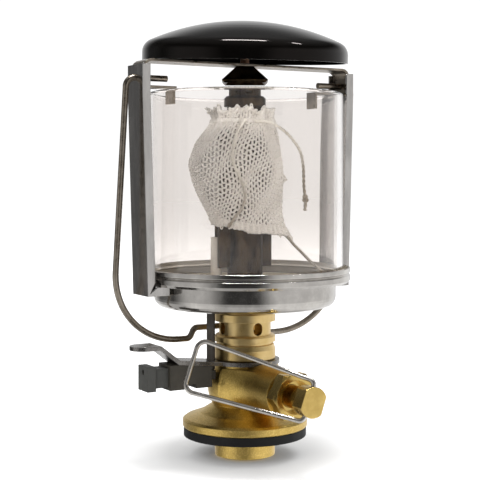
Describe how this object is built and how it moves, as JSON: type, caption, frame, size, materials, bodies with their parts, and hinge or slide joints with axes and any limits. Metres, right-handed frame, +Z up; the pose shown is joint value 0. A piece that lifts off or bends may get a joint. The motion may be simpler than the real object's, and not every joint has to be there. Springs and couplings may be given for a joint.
{
  "type": "gas lantern head",
  "caption": "Camping lantern head that screws onto a gas cartridge: brass valve with a folding wire handle, piezo igniter, glass cylinder, mantle, domed lid and a carrying bail.",
  "frame": {"origin": "centre of the cartridge thread's mouth, at the lowest face of the valve body", "axes": "+Z up along the burner, X through the two uprights, -Y along the valve stem"},
  "size_m": [0.0798, 0.069, 0.1295],
  "materials": {
    "cast_brass": "sand cast and tumbled, matt gold",
    "turned_brass": "turned, satin",
    "black_rubber": "matt moulded rubber",
    "bright_wire": "bright drawn wire",
    "zinc_sheet": "zinc plated sheet, satin grey",
    "igniter_plastic": "dark moulded plastic",
    "lead_sleeve": "dark sleeve",
    "ceramic": "unglazed cream ceramic",
    "burner_steel": "heat tinted steel",
    "plated_sheet": "plated sheet, mirror like",
    "mantle_knit": "open knit, off white",
    "mantle_string": "soft twisted cord, cream",
    "lantern_glass": "clear, fire polished",
    "spring_steel": "dark bronze grey spring steel",
    "copper_rivet": "copper coloured rivet",
    "lid_enamel": "black gloss enamel"
  },
  "bodies": {
    "frame": {"valve_body": "cast_brass", "base_gasket": "black_rubber", "gland_nut": "turned_brass", "gas_jet": "turned_brass", "clamp_nut": "turned_brass", "mixer": "turned_brass", "igniter_bracket": "zinc_sheet", "igniter_housing": "igniter_plastic", "igniter_lead": "lead_sleeve", "electrode_ceramic": "ceramic", "electrode_wire": "burner_steel", "tray": "plated_sheet", "tube_nut": "turned_brass", "burner_tube": "burner_steel", "burner_cap": "burner_steel", "mantle": "mantle_knit", "string_side": "mantle_string", "string_front": "mantle_string", "string_low": "mantle_string", "glass": "lantern_glass", "upright_left": "zinc_sheet", "upright_right": "zinc_sheet", "lid_strap": "spring_steel", "heat_deflector": "burner_steel", "lid_stud": "copper_rivet", "lid": "lid_enamel"},
    "stem": {"valve_stem": "turned_brass"},
    "handle": {"valve_handle": "bright_wire"},
    "button": {"igniter_button": "igniter_plastic"},
    "bail": {"bail": "spring_steel"}
  },
  "joints": [
    {"name": "stem_turn", "type": "hinge", "parent": "frame", "child": "stem", "pos_m": [0, -0.03, 0.0212], "axis": [0, -1, 0], "range_deg": [-20, 35]},
    {"name": "handle_fold", "type": "hinge", "parent": "stem", "child": "handle", "pos_m": [0, -0.0352, 0.0212], "axis": [0.342, 0, 0.9397], "range_deg": [0, 180]},
    {"name": "button_press", "type": "slide", "parent": "frame", "child": "button", "axis": [1, 0, 0], "range_m": [0, 0.0036], "stiffness_N_per_m": 300},
    {"name": "bail_swing", "type": "hinge", "parent": "frame", "child": "bail", "pos_m": [0, 0, 0.111], "axis": [1, 0, 0], "range_deg": [0, 300]}
  ]
}
